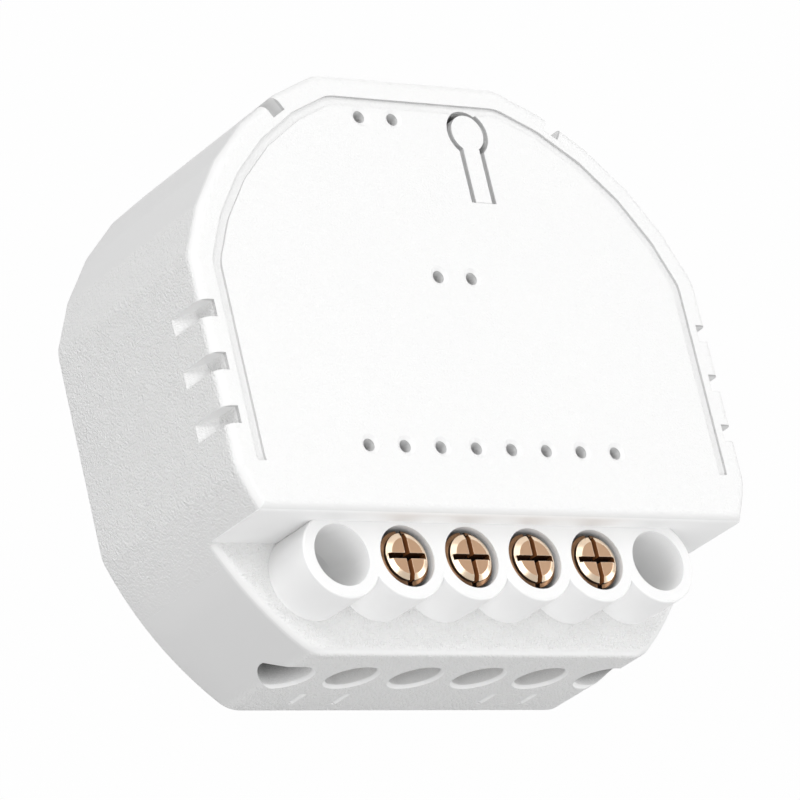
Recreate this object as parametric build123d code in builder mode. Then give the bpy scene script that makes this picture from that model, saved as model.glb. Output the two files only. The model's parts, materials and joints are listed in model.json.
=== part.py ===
"""In-wall smart light switch module: a relay and its radio in a white case with screw terminals.

Millimetres. +Z points out of the face, -Y is the terminal end, and the back lies on Z = 0.
"""

from build123d import *
from math import acos, asin, degrees, radians, sin
import os

# Case, seen from the front: a circle for round wall boxes, cut flat on four sides
case_width = 51.2
case_height = 47.0
case_depth = 19.4
circle_side_cut = 1.5  # how far the circle would reach past the sides
circle_top_cut = 1.55  # and past the top
shoulder_facets = 5  # flats that stand in for the circle at each shoulder
corner_round = 3.0
wall = 2.0
face_thickness = 1.6
rim_round = 0.8

# Step at the terminal end
step_length = 9.1
step_depth = 7.0
step_round = 0.8

# Groove that frames the face
groove_inset = 2.0
groove_width = 0.8
groove_depth = 0.25
groove_foot = 13.05  # from the end of the case up to the groove's lower ends

# Small holes in the face: the row is placed from the step, the pairs from the top edge
vent_radius = 0.53
vent_mouth_radius = 0.85
vent_mouth_angle = 116
vent_row_count = 8
vent_row_pitch = 3.54
vent_row_rise = 5.59
vent_pair_pitch = 3.35
middle_pair_x = 0.22
middle_pair_drop = 17.47
top_pair_x = -4.03
top_pair_drop = 3.65

# Pockets in the rim
side_notch_count = 3
side_notch_pitch = 4.45
side_notch_height = 1.45
side_notch_mouth = 1.28  # how far it cuts in at the face
side_notch_foot = 1.02  # and where its ramp begins
side_notch_length = 2.3
side_notch_ramp = 1.8
side_notch_drop = 21.3  # from the top edge to the middle of the first
top_notch_angle = 57.4
top_notch_size = 1.5
top_notch_length = 2.5

# Terminals
terminal_pitch = 6.35
tube_count = 6
screw_count = 4
terminal_inset = 6.25  # from the end of the case to the screw axes
tube_radius = 3.58
tube_bore = 2.58
tube_setback = 2.13
tube_lip_round = 0.2
empty_tube_floor = 0.8
wire_hole_radius = 2.1
wire_hole_lip = 0.25
lip_angle = 45
wire_sill = 0.45  # from the floor of the terminal boxes up to the wire holes
blind_hole_depth = 2.6  # at its floor: the back slopes up to the mouth
blind_hole_back = 1.4
partition_thickness = 0.8

# Clamp screws and what they press
thread_radius = 1.5
thread_gap = 0.05
head_radius = 2.3
head_rim = 0.9
head_rim_fall = 0.08
head_step_radius = 1.98
head_step = 0.3
head_bevel = 0.22
head_top_radius = 1.53
head_proud = 0.08  # above the mouth of the tube
slot_width = 0.47
cross_slot_reach = 1.8
slot_depth = 1.0
screw_travel = 3.0
box_width = 5.2
box_length = 6.0
box_wall = 0.5
box_floor = 0.8
box_roof = 1.2
box_collar_radius = 2.3
collar_gap = 0.3  # left under the head when the screw is right in
box_headroom = 0.1
plate_length = 4.6
plate_thickness = 0.6
plate_gap = 0.15
plate_headroom = 0.3
neck_radius = 0.8
swage_radius = 1.2
swage_height = 0.3
tip_gap = 0.1

# Back cover
cover_thickness = 1.4
cover_gap = 0.1
tab_width = 4.35
tab_height = 2.2
tab_gap = 0.06
tab_bevel = 0.25
tab_leg = 1.0
hook_width = 3.0
hook_height = 1.2
hook_reach = 1.0
hook_spacing = 12.0
hook_rise = 0.8
support_radius = 1.0
support_spacing = 11.0
support_y = 3.0
rib_width = 2.0
rib_reach = 1.4

# Pairing button
button_x = 5.0
button_drop = 4.45  # from the top edge down to the disc's middle
button_radius = 1.6
button_slot = 0.46
tongue_width = 1.65
tongue_slot = 0.43
tongue_length = 6.25
tongue_thickness = 1.0
root_gap = 0.02
root_land = 0.2
root_relief = 0.2
stem_radius = 1.0
press_gap = 0.06

# Boards
solder_room = 1.2
board_thickness = 1.2
board_gap = 0.4
hole_gap = 0.1
lead_stub = 0.8
part_gap = 1.0
radio_board_drop = 6.2  # from the face down to the radio board's front
radio_board_thickness = 1.0
radio_board_width = 24.0
radio_board_margin = 0.5

# Parts on the main board: length along X, width along Y, height
relay_size = (18.4, 10.2, 11.5)
bulk_capacitor_radius = 4.0
bulk_capacitor_height = 11.5
fuse_resistor_radius = 1.6
fuse_resistor_height = 9.0
varistor_radius = 3.5
varistor_thickness = 4.0
transformer_size = (12.0, 8.6, 9.5)
core_thickness = 3.6
core_end = 2.0
core_side = 1.3
core_leg = 2.4
winding_gap = 0.1
inductor_radius = 3.25
inductor_height = 8.0
output_capacitor_radius = 3.15
output_capacitor_height = 8.0
safety_capacitor_size = (10.0, 5.0, 10.0)
bridge_size = (4.8, 4.0, 2.5)
optocoupler_size = (4.4, 3.6, 2.0)
controller_size = (5.0, 4.0, 1.6)
lead_radius = 0.3
lead_inset = 1.2
can_round = 0.6
block_round = 0.4

# Relay inside its cover
relay_base_height = 1.2
relay_wall = 0.6
yoke_thickness = 1.0
yoke_inset = 1.2
yoke_width = 7.0
yoke_foot = 9.5
yoke_height = 8.0
core_radius = 1.6
coil_radius = 3.6
coil_flange = 0.6
coil_gap = 0.2
armature_thickness = 0.8
armature_gap = 0.05
armature_length = 8.0
armature_tilt = 3.0  # degrees, open to closed
contact_radius = 1.0
contact_height = 0.5
contact_arm = 13.6  # from the armature's pivot to the contacts
closed_gap = 0.04  # left under the armature and its contact when it is closed
spring_thickness = 0.3
spring_width = 3.0

# Radio board parts
pin_count = 4
pin_pitch = 2.0
header_width = 2.0
header_height = 2.0
spacer_radius = 1.5
tact_size = (6.0, 3.5, 2.0)
plunger_radius = 0.75
plunger_gap = 0.05
plunger_height = 0.7
plunger_seat = 0.8
plunger_well = 1.2
chip_size = (3.6, 3.6, 0.8)
shield_size = (9.0, 5.0, 2.0)
shield_wall = 0.2
shield_gap = 0.3
antenna_inset = 1.5
antenna_run = 5.0
antenna_pitch = 1.2
antenna_turns = 3
antenna_track = 0.5
antenna_thickness = 0.1
led_size = (1.6, 0.8, 0.7)

# Places worked out from the sizes above
half_width = case_width / 2
circle_radius = half_width + circle_side_cut
top_y = case_height / 2
end_y = -case_height / 2
circle_y = top_y + circle_top_cut - circle_radius
step_y = end_y + step_length
step_z = case_depth - step_depth
step_inner_z = step_z - face_thickness
face_inner_z = case_depth - face_thickness
terminal_y = end_y + terminal_inset
tube_top_z = case_depth - tube_setback
board_z = cover_thickness + solder_room
board_top_z = board_z + board_thickness
wire_z = board_top_z + box_floor + wire_sill + wire_hole_radius
radio_top_z = case_depth - radio_board_drop
radio_z = radio_top_z - radio_board_thickness
through = 2 * case_depth
tube_xs = [(i - (tube_count - 1) / 2) * terminal_pitch for i in range(tube_count)]
screw_xs = [(i - (screw_count - 1) / 2) * terminal_pitch for i in range(screw_count)]
empty_xs = [x for x in tube_xs if abs(x) > max(screw_xs) + terminal_pitch / 2]
tab_xs = [-1.5 * terminal_pitch, 1.5 * terminal_pitch]
hook_xs = [-hook_spacing / 2, hook_spacing / 2]
support_x = half_width - wall - rib_reach
support_ys = [support_y, support_y - support_spacing]
support_spots = [(side * support_x, y) for side in (-1, 1) for y in support_ys]
button_y = top_y - button_drop
root_y = button_y - tongue_length
box_top_z = step_inner_z - box_headroom
box_roof_z = box_top_z - box_roof
plate_top_z = box_roof_z - plate_headroom
plate_z = plate_top_z - plate_thickness
head_z = tube_top_z + head_proud
flange_z = head_z - head_bevel - head_step
box_collar = flange_z - head_rim - screw_travel - collar_gap - box_top_z
row_1_y = step_y + wall + board_gap
row_2_y = row_1_y + relay_size[1] + part_gap
row_3_y = row_2_y + transformer_size[1] + part_gap
row_1_parts = [relay_size[0], 2 * bulk_capacitor_radius, 2 * fuse_resistor_radius, varistor_thickness]
row_2_parts = [
    transformer_size[0],
    2 * inductor_radius,
    2 * output_capacitor_radius,
    safety_capacitor_size[0],
]
row_3_parts = [bridge_size[0], pin_count * pin_pitch, optocoupler_size[0], controller_size[0]]
row_1_left, row_2_left, row_3_left = [
    -(sum(lengths) + (len(lengths) - 1) * part_gap) / 2
    for lengths in (row_1_parts, row_2_parts, row_3_parts)
]
lead_spots = []

os.makedirs("parts", exist_ok=True)


def save(piece, label):
    """Names a finished piece and writes it to its own file."""
    piece.part.label = label
    export_step(piece.part, f"parts/{label}.step")


def case_outline(inset):
    """Front view of the case, drawn this far inside its outer wall."""
    side_angle = degrees(acos(half_width / circle_radius))
    top_angle = degrees(asin((top_y - circle_y) / circle_radius))
    end_angle = degrees(asin((circle_y - end_y) / circle_radius))
    facet_angle = (top_angle - side_angle) / shoulder_facets
    shoulder = [
        Vector(circle_radius, 0).rotate(Axis.Z, side_angle + i * facet_angle) + Vector(0, circle_y)
        for i in range(shoulder_facets + 1)
    ]
    with BuildSketch() as outline:
        with BuildLine() as edge:
            Polyline(*shoulder, *[(-p.X, p.Y) for p in reversed(shoulder)])
            for start in (-end_angle, 180 + side_angle):
                CenterArc((0, circle_y), circle_radius, start, end_angle - side_angle)
            right_arc, left_arc = edge.edges().filter_by(GeomType.CIRCLE).sort_by(Axis.X, reverse=True)
            Line(right_arc @ 1, shoulder[0])
            Line(left_arc @ 0, (-shoulder[0].X, shoulder[0].Y))
            Line(right_arc @ 0, left_arc @ 1)
        make_face()
        if inset:
            offset(amount=-inset, kind=Kind.INTERSECTION)
        fillet(outline.vertices(), corner_round)
    return outline.sketch


def upright_edges(piece):
    """Short upright edges in the plane of the end wall: those of the tabs and their windows."""
    return (
        piece.edges()
        .filter_by(Axis.Z)
        .filter_by(lambda e: abs(e.center().Y - end_y) < tab_gap and e.length <= tab_height)
    )


def lead_outline(spots):
    """Outlines of a part's leads, just below the main board."""
    lead_spots.extend(spots)
    with BuildSketch(Plane.XY.offset(board_z - lead_stub)) as outline:
        with Locations(*spots):
            Circle(lead_radius)
    return outline.sketch


def board_block(label, left, front, size, leads):
    """Boxy part on the main board. Gives the place where the next part may start."""
    length, width, height = size
    with BuildPart() as block:
        with BuildSketch(Plane.XY.offset(board_top_z)):
            with Locations((left, front)):
                Rectangle(length, width, align=(Align.MIN, Align.MIN))
        extrude(amount=height)
        fillet(block.edges().filter_by(Axis.Z), block_round)
        if leads:
            spots = [
                (left + lead_inset, front + width / 2),
                (left + length - lead_inset, front + width / 2),
            ]
            extrude(lead_outline(spots), amount=lead_stub + board_thickness)
    save(block, label)
    return left + length + part_gap


def board_can(label, left, front, radius, height):
    """Round part that stands on the main board. Gives the place where the next part may start."""
    middle_y = front + radius
    with BuildPart() as can:
        with BuildSketch(Plane.XY.offset(board_top_z)):
            with Locations((left + radius, middle_y)):
                Circle(radius)
        extrude(amount=height)
        fillet(can.edges().group_by(Axis.Z)[-1], can_round)
        spots = [(left + radius, middle_y - radius / 2), (left + radius, middle_y + radius / 2)]
        extrude(lead_outline(spots), amount=lead_stub + board_thickness)
    save(can, label)
    return left + 2 * radius + part_gap


# One terminal tube, used six times
with BuildPart() as terminal_tube:
    with BuildSketch(Plane.XY.offset(step_inner_z)):
        Circle(tube_radius)
    extrude(amount=tube_top_z - step_inner_z)
    fillet(terminal_tube.edges().group_by(Axis.Z)[-1], tube_lip_round)

# One blind wire hole, for the two empty tubes: its back slopes down and inwards from the mouth
with BuildPart() as blind_hole:
    with BuildSketch(Plane.XZ):
        Circle(wire_hole_radius)
    extrude(amount=-blind_hole_depth)
    with BuildSketch(Plane.YZ):
        with BuildLine():
            Polyline(
                (0, wire_hole_radius),
                (0, -wire_hole_radius),
                (blind_hole_depth, -wire_hole_radius),
                close=True,
            )
        make_face()
    extrude(amount=wire_hole_radius, both=True, mode=Mode.INTERSECT)

# Housing: one moulding, open at the back, lower at the terminal end
with BuildPart() as housing:
    with BuildSketch():
        add(case_outline(0))
    extrude(amount=step_z)
    fillet(housing.edges().group_by(Axis.Z)[-1], step_round)
    with BuildSketch():
        add(case_outline(0))
        with Locations((0, step_y)):
            Rectangle(2 * case_width, case_height, align=(Align.CENTER, Align.MIN), mode=Mode.INTERSECT)
    extrude(amount=case_depth)
    fillet(housing.edges().group_by(Axis.Z)[-1], rim_round)
    with Locations(*[(x, terminal_y) for x in tube_xs]):
        add(terminal_tube.part)

    # The tubes are joined to the wall behind them
    with BuildSketch(Plane.XY.offset(step_inner_z)):
        with Locations((0, terminal_y)):
            Rectangle(
                tube_xs[-1] - tube_xs[0],
                step_y + wall / 2 - terminal_y,
                align=(Align.CENTER, Align.MIN),
            )
    extrude(amount=tube_top_z - step_inner_z)

    # Hollow inside, with ribs that hold the board and the terminals apart
    with BuildSketch():
        add(case_outline(wall))
    extrude(amount=step_inner_z, mode=Mode.SUBTRACT)
    with BuildSketch(Plane.XY.offset(step_inner_z)) as upper_hollow:
        add(case_outline(wall))
        with Locations((0, step_y + wall)):
            Rectangle(2 * case_width, 2 * case_height, align=(Align.CENTER, Align.MIN), mode=Mode.INTERSECT)
    extrude(amount=face_inner_z - step_inner_z, mode=Mode.SUBTRACT)
    with BuildSketch(Plane.XY.offset(board_top_z)):
        partition_length = step_length + wall / 2
        partition_xs = [x + terminal_pitch / 2 for x in tube_xs[:-1]]
        with Locations(*[(x, end_y + wall / 2) for x in partition_xs]):
            Rectangle(
                partition_thickness,
                partition_length,
                align=(Align.CENTER, Align.MIN),
            )
    extrude(amount=step_inner_z - board_top_z)
    with BuildSketch(Plane.XY.offset(board_top_z)):
        add(case_outline(wall / 2))
        with Locations((0, end_y)):
            Rectangle(
                case_width,
                blind_hole_depth + blind_hole_back,
                align=(Align.CENTER, Align.MIN),
                mode=Mode.INTERSECT,
            )
            Rectangle(2 * partition_xs[-1], case_height, mode=Mode.SUBTRACT)
    extrude(amount=step_inner_z - board_top_z)
    with BuildSketch(Plane.XY.offset(board_top_z)):
        for y in support_ys:
            for side in (-1, 1):
                with Locations((side * (half_width - wall / 2), y)):
                    Rectangle(
                        rib_reach + wall / 2,
                        rib_width,
                        align=(Align.MAX if side > 0 else Align.MIN, Align.CENTER),
                    )
    extrude(amount=face_inner_z - board_top_z)

    # Screw wells, and two blind ones at the ends
    with BuildSketch(Plane.XY.offset(step_inner_z)):
        with Locations(*[(x, terminal_y) for x in screw_xs]):
            Circle(tube_bore)
    extrude(amount=through, mode=Mode.SUBTRACT)
    with BuildSketch(Plane.XY.offset(step_inner_z + empty_tube_floor)):
        with Locations(*[(x, terminal_y) for x in empty_xs]):
            Circle(tube_bore)
    extrude(amount=through, mode=Mode.SUBTRACT)

    # Wire holes in the end wall, blind ones at the ends, all with a bevelled lip
    with BuildSketch(Plane.XZ.offset(-end_y)):
        with Locations(*[(x, wire_z) for x in screw_xs]):
            Circle(wire_hole_radius)
    extrude(amount=-terminal_inset, mode=Mode.SUBTRACT)
    with Locations(*[(x, end_y, wire_z) for x in empty_xs]):
        add(blind_hole.part, mode=Mode.SUBTRACT)
    with BuildSketch(Plane.XZ.offset(-end_y)):
        with Locations(*[(x, wire_z) for x in tube_xs]):
            Circle(wire_hole_radius + wire_hole_lip)
    extrude(amount=-wire_hole_lip, taper=lip_angle, mode=Mode.SUBTRACT)

    # Windows for the cover's tabs, and pockets for its hooks
    with BuildSketch(Plane.XZ.offset(-end_y)):
        with Locations(*[(x, cover_thickness) for x in tab_xs]):
            Rectangle(tab_width, tab_height, align=(Align.CENTER, Align.MIN))
    extrude(amount=-wall, mode=Mode.SUBTRACT)
    chamfer(upright_edges(housing), tab_bevel)
    with BuildSketch(Plane.XZ.offset(-(top_y - wall))):
        with Locations(*[(x, hook_rise - cover_gap) for x in hook_xs]):
            Rectangle(
                hook_width + 2 * cover_gap,
                hook_height + 2 * cover_gap,
                align=(Align.CENTER, Align.MIN),
            )
    extrude(amount=-(hook_reach + cover_gap), mode=Mode.SUBTRACT)

    # Groove, notches, vents and the slot round the button, all in the face
    with BuildSketch(Plane.XY.offset(case_depth)):
        add(case_outline(groove_inset))
        add(case_outline(groove_inset + groove_width), mode=Mode.SUBTRACT)
        with Locations((0, end_y + groove_foot)):
            Rectangle(case_width, case_height, align=(Align.CENTER, Align.MAX), mode=Mode.SUBTRACT)
    extrude(amount=-groove_depth, mode=Mode.SUBTRACT)
    for i in range(side_notch_count):
        notch_y = top_y - side_notch_drop - i * side_notch_pitch
        ramp_z = case_depth - side_notch_length
        with BuildSketch(Plane.XZ.offset(-notch_y)):
            for side in (-1, 1):
                with BuildLine():
                    Polyline(
                        (side * case_width, case_depth),
                        (side * (half_width - side_notch_mouth), case_depth),
                        (side * (half_width - side_notch_foot), ramp_z),
                        (side * half_width, ramp_z - side_notch_ramp),
                        (side * case_width, ramp_z - side_notch_ramp),
                        close=True,
                    )
                make_face()
        extrude(amount=side_notch_height / 2, both=True, mode=Mode.SUBTRACT)
    with BuildSketch(Plane.XY.offset(case_depth)):
        for angle in (top_notch_angle, 180 - top_notch_angle):
            with Locations(Location((0, circle_y), angle)):
                with Locations((circle_radius, 0)):
                    Rectangle(2 * top_notch_size, top_notch_size)
    extrude(amount=-top_notch_length, mode=Mode.SUBTRACT)
    row_xs = [(i - (vent_row_count - 1) / 2) * vent_row_pitch for i in range(vent_row_count)]
    vents = [(x, step_y + vent_row_rise) for x in row_xs]
    for pair_x, pair_drop in ((middle_pair_x, middle_pair_drop), (top_pair_x, top_pair_drop)):
        for side in (-0.5, 0.5):
            vents.append((pair_x + side * vent_pair_pitch, top_y - pair_drop))
    with Locations(*[(x, y, case_depth) for x, y in vents]):
        CounterSinkHole(
            vent_radius,
            vent_mouth_radius,
            depth=2 * face_thickness,
            counter_sink_angle=vent_mouth_angle,
        )
    with BuildSketch(Plane.XY.offset(case_depth)):
        with Locations((button_x, button_y)):
            Circle(button_radius + button_slot)
            Rectangle(
                tongue_width + 2 * tongue_slot,
                tongue_length,
                align=(Align.CENTER, Align.MAX),
            )
    extrude(amount=-2 * face_thickness, mode=Mode.SUBTRACT)
save(housing, "housing")

# Back cover: its tabs show in the windows of the end wall
with BuildPart() as back_cover:
    with BuildSketch():
        add(case_outline(wall + cover_gap))
    extrude(amount=cover_thickness)
    with BuildSketch(Plane.XY.offset(cover_thickness)):
        with Locations(*support_spots):
            Circle(support_radius)
    extrude(amount=solder_room)
    leg_y = end_y + wall + cover_gap
    with BuildSketch():
        with Locations(*[(x, leg_y) for x in tab_xs]):
            Rectangle(tab_width - 2 * tab_gap, tab_leg, align=(Align.CENTER, Align.MIN))
    extrude(amount=cover_thickness + tab_height - tab_gap)
    with BuildSketch(Plane.XY.offset(cover_thickness + tab_gap)):
        with Locations(*[(x, end_y) for x in tab_xs]):
            Rectangle(
                tab_width - 2 * tab_gap,
                wall + cover_gap + tab_leg,
                align=(Align.CENTER, Align.MIN),
            )
    extrude(amount=tab_height - 2 * tab_gap)
    chamfer(upright_edges(back_cover), tab_bevel)
    with BuildSketch(Plane.XY.offset(hook_rise)):
        with Locations(*[(x, top_y - wall + hook_reach) for x in hook_xs]):
            Rectangle(hook_width, hook_reach + tab_leg, align=(Align.CENTER, Align.MAX))
    extrude(amount=hook_height)
save(back_cover, "back_cover")

# Pairing button: a disc on a tongue, bending at the tongue's lower end
plunger_top_z = radio_top_z + tact_size[2] + plunger_height
with BuildPart() as pairing_button:
    with BuildSketch(Plane.XY.offset(case_depth)):
        with Locations((button_x, button_y)):
            Circle(button_radius)
            Rectangle(tongue_width, tongue_length - root_gap, align=(Align.CENTER, Align.MAX))
    extrude(amount=-tongue_thickness)
    with BuildSketch(Plane.YZ.offset(button_x)):
        with BuildLine():
            Polyline(
                (root_y, case_depth - root_land),
                (root_y + root_gap, case_depth - root_land),
                (root_y + root_gap + root_relief, case_depth - tongue_thickness),
                (root_y, case_depth - tongue_thickness),
                close=True,
            )
        make_face()
    extrude(amount=tongue_width, both=True, mode=Mode.SUBTRACT)
    with BuildSketch(Plane.XY.offset(plunger_top_z + press_gap)):
        with Locations((button_x, button_y)):
            Circle(stem_radius)
    extrude(amount=case_depth - tongue_thickness - plunger_top_z - press_gap)
save(pairing_button, "pairing_button")


def terminal_box(x, label):
    """Threaded box clamp: the wire goes in along Y and the screw comes down through the roof."""
    with BuildPart() as box:
        with BuildSketch(Plane.XY.offset(board_top_z)):
            with Locations((x, terminal_y)):
                Rectangle(box_width, box_length)
        extrude(amount=box_top_z - board_top_z)
        fillet(box.edges().filter_by(Axis.Y), box_wall)
        with BuildSketch(Plane.XY.offset(box_top_z)):
            with Locations((x, terminal_y)):
                Circle(box_collar_radius)
        extrude(amount=box_collar)
        with BuildSketch(Plane.XZ.offset(-terminal_y)):
            with Locations((x, board_top_z + box_floor)):
                Rectangle(
                    box_width - 2 * box_wall,
                    box_roof_z - board_top_z - box_floor,
                    align=(Align.CENTER, Align.MIN),
                )
        extrude(amount=box_length, both=True, mode=Mode.SUBTRACT)
        with Locations((x, terminal_y, box_top_z + box_collar)):
            Hole(thread_radius + thread_gap, depth=box_collar + 2 * box_roof)
        spots = [(x, terminal_y - box_length / 4), (x, terminal_y + box_length / 4)]
        extrude(lead_outline(spots), amount=lead_stub + board_thickness)
    save(box, label)


def pressure_plate(x, label):
    """Loose plate on the screw's tip: it goes down with the screw but can't turn in the box."""
    with BuildPart() as plate:
        with BuildSketch(Plane.XY.offset(plate_z)):
            with Locations((x, terminal_y)):
                Rectangle(box_width - 2 * box_wall - 2 * plate_gap, plate_length)
                Circle(neck_radius + thread_gap, mode=Mode.SUBTRACT)
        extrude(amount=plate_thickness)
    save(plate, label)


def clamp_screw(x, label):
    """Cross-slot screw with a stepped head, and a swaged tip that carries the plate."""
    profile = [
        (0, plate_z - tip_gap - swage_height),
        (swage_radius, plate_z - tip_gap - swage_height),
        (swage_radius, plate_z - tip_gap),
        (neck_radius, plate_z - tip_gap),
        (neck_radius, plate_top_z + tip_gap),
        (thread_radius, plate_top_z + tip_gap),
        (thread_radius, flange_z - head_rim),
        (head_radius, flange_z - head_rim),
        (head_radius, flange_z - head_rim_fall),
        (head_step_radius, flange_z),
        (head_step_radius, head_z - head_bevel),
        (head_top_radius, head_z),
        (0, head_z),
    ]
    with BuildPart() as screw:
        with BuildSketch(Plane.XZ.offset(-terminal_y)):
            with BuildLine():
                Polyline(*[(x + r, z) for r, z in profile], close=True)
            make_face()
        revolve(axis=Axis((x, terminal_y, 0), (0, 0, 1)))
        with BuildSketch(Plane.XY.offset(head_z)):
            with Locations((x, terminal_y)):
                Rectangle(slot_width, 3 * head_radius)
                Rectangle(2 * cross_slot_reach, slot_width)
        extrude(amount=-slot_depth, mode=Mode.SUBTRACT)
    save(screw, label)


for number, screw_x in enumerate(screw_xs, start=1):
    terminal_box(screw_x, f"terminal_box_{number}")
    pressure_plate(screw_x, f"pressure_plate_{number}")
    clamp_screw(screw_x, f"clamp_screw_{number}")

# Relay: sealed in its own cover, with the armature that closes its contact
relay_length, relay_width, relay_height = relay_size
relay_x = row_1_left
relay_y = row_1_y + relay_width / 2
relay_floor_z = board_top_z + relay_base_height
pivot_x = relay_x + yoke_inset + yoke_thickness
pivot_z = relay_floor_z + yoke_height + armature_gap
coil_x = relay_x + yoke_inset + yoke_thickness + coil_gap + coil_radius
contact_x = pivot_x + contact_arm
full_tilt = sin(radians(armature_tilt))
core_gap = (coil_x + core_radius - pivot_x) * full_tilt + closed_gap
contact_gap = (contact_arm + contact_radius) * full_tilt + closed_gap
fixed_contact_z = pivot_z - contact_height - contact_gap

with BuildPart() as relay_base:
    with BuildSketch(Plane.XY.offset(board_top_z)):
        with Locations((relay_x, row_1_y)):
            Rectangle(relay_length, relay_width, align=(Align.MIN, Align.MIN))
    extrude(amount=relay_base_height)
    relay_lead_xs = (relay_x + lead_inset, relay_x + relay_length - lead_inset)
    relay_lead_ys = (row_1_y + lead_inset, row_1_y + relay_width - lead_inset)
    relay_spots = [(x, y) for x in relay_lead_xs for y in relay_lead_ys]
    extrude(lead_outline(relay_spots), amount=lead_stub + board_thickness)
save(relay_base, "relay_base")

with BuildPart() as relay_cover:
    with BuildSketch(Plane.XY.offset(relay_floor_z)):
        with Locations((relay_x, row_1_y)):
            Rectangle(relay_length, relay_width, align=(Align.MIN, Align.MIN))
    extrude(amount=relay_height - relay_base_height)
    fillet(relay_cover.edges().filter_by(Axis.Z), block_round)
    fillet(relay_cover.edges().group_by(Axis.Z)[-1], block_round)
    with BuildSketch(Plane.XY.offset(relay_floor_z)):
        with Locations((relay_x + relay_length / 2, relay_y)):
            Rectangle(relay_length - 2 * relay_wall, relay_width - 2 * relay_wall)
    extrude(amount=relay_height - relay_base_height - relay_wall, mode=Mode.SUBTRACT)
save(relay_cover, "relay_cover")

with BuildPart() as relay_yoke:
    with BuildSketch(Plane.XY.offset(relay_floor_z)):
        with Locations((relay_x + yoke_inset, relay_y)):
            Rectangle(yoke_foot, yoke_width, align=(Align.MIN, Align.CENTER))
    extrude(amount=yoke_thickness)
    with BuildSketch(Plane.XY.offset(relay_floor_z)):
        with Locations((relay_x + yoke_inset, relay_y)):
            Rectangle(yoke_thickness, yoke_width, align=(Align.MIN, Align.CENTER))
    extrude(amount=yoke_height)
    with BuildSketch(Plane.XY.offset(relay_floor_z)):
        with Locations((coil_x, relay_y)):
            Circle(core_radius)
    extrude(amount=yoke_height - core_gap)
save(relay_yoke, "relay_yoke")

with BuildPart() as relay_coil:
    coil_z = relay_floor_z + yoke_thickness
    coil_height = yoke_height - yoke_thickness - core_gap - coil_gap
    with BuildSketch(Plane.XY.offset(coil_z)):
        with Locations((coil_x, relay_y)):
            Circle(coil_radius)
    extrude(amount=coil_height)
    with BuildSketch(Plane.XY.offset(coil_z + coil_flange)):
        with Locations((coil_x, relay_y)):
            Circle(coil_radius)
            Circle(coil_radius - coil_flange, mode=Mode.SUBTRACT)
    extrude(amount=coil_height - 2 * coil_flange, mode=Mode.SUBTRACT)
    with Locations((coil_x, relay_y, coil_z + coil_height)):
        Hole(core_radius + winding_gap, depth=2 * coil_height)
save(relay_coil, "relay_coil")

with BuildPart() as relay_armature:
    with BuildSketch(Plane.XY.offset(pivot_z)):
        with Locations((pivot_x - yoke_thickness, relay_y)):
            Rectangle(
                armature_length + yoke_thickness,
                yoke_width,
                align=(Align.MIN, Align.CENTER),
            )
    extrude(amount=armature_thickness)
    with BuildSketch(Plane.XY.offset(pivot_z)):
        with Locations((pivot_x + armature_length, relay_y)):
            Rectangle(
                contact_arm - armature_length,
                spring_width,
                align=(Align.MIN, Align.CENTER),
            )
        with Locations((contact_x, relay_y)):
            Circle(spring_width / 2)
    extrude(amount=spring_thickness)
    with BuildSketch(Plane.XY.offset(pivot_z)):
        with Locations((contact_x, relay_y)):
            Circle(contact_radius)
    extrude(amount=-contact_height)
save(relay_armature, "relay_armature")

with BuildPart() as relay_contact:
    with BuildSketch(Plane.XY.offset(relay_floor_z)):
        with Locations((contact_x, relay_y)):
            Rectangle(spring_thickness, spring_width)
    extrude(amount=fixed_contact_z - contact_height - relay_floor_z)
    with BuildSketch(Plane.XY.offset(fixed_contact_z - contact_height)):
        with Locations((contact_x, relay_y)):
            Rectangle(spring_width, spring_width)
    extrude(amount=-spring_thickness)
    with BuildSketch(Plane.XY.offset(fixed_contact_z - contact_height)):
        with Locations((contact_x, relay_y)):
            Circle(contact_radius)
    extrude(amount=contact_height)
save(relay_contact, "relay_contact")

# First row on the main board, behind the terminals
next_x = relay_x + relay_length + part_gap
next_x = board_can("bulk_capacitor", next_x, row_1_y, bulk_capacitor_radius, bulk_capacitor_height)
next_x = board_can("fuse_resistor", next_x, row_1_y, fuse_resistor_radius, fuse_resistor_height)
with BuildPart() as varistor:
    varistor_y = row_1_y + varistor_radius
    varistor_z = board_top_z + varistor_radius
    with BuildSketch(Plane.YZ.offset(next_x)):
        with Locations((varistor_y, varistor_z)):
            Circle(varistor_radius)
    extrude(amount=varistor_thickness)
    fillet(varistor.edges(), can_round)
    varistor_spots = [
        (next_x + varistor_thickness / 2, varistor_y - varistor_radius / 2),
        (next_x + varistor_thickness / 2, varistor_y + varistor_radius / 2),
    ]
    extrude(lead_outline(varistor_spots), amount=lead_stub + board_thickness + varistor_radius)
save(varistor, "varistor")

# Second row: transformer, inductor and two capacitors
core_length, core_width, coil_stack = transformer_size
window_length = core_length - 2 * core_end
window_width = (core_width - 2 * core_side - core_leg) / 2
transformer_x = row_2_left + core_length / 2
transformer_y = row_2_y + core_width / 2
core_z = board_top_z + (coil_stack - core_thickness) / 2
with BuildPart() as transformer_core:
    with BuildSketch(Plane.XY.offset(core_z)):
        with Locations((transformer_x, transformer_y)):
            Rectangle(core_length, core_width)
            with Locations((0, (core_leg + window_width) / 2), (0, -(core_leg + window_width) / 2)):
                Rectangle(window_length, window_width, mode=Mode.SUBTRACT)
    extrude(amount=core_thickness)
save(transformer_core, "transformer_core")

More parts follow.
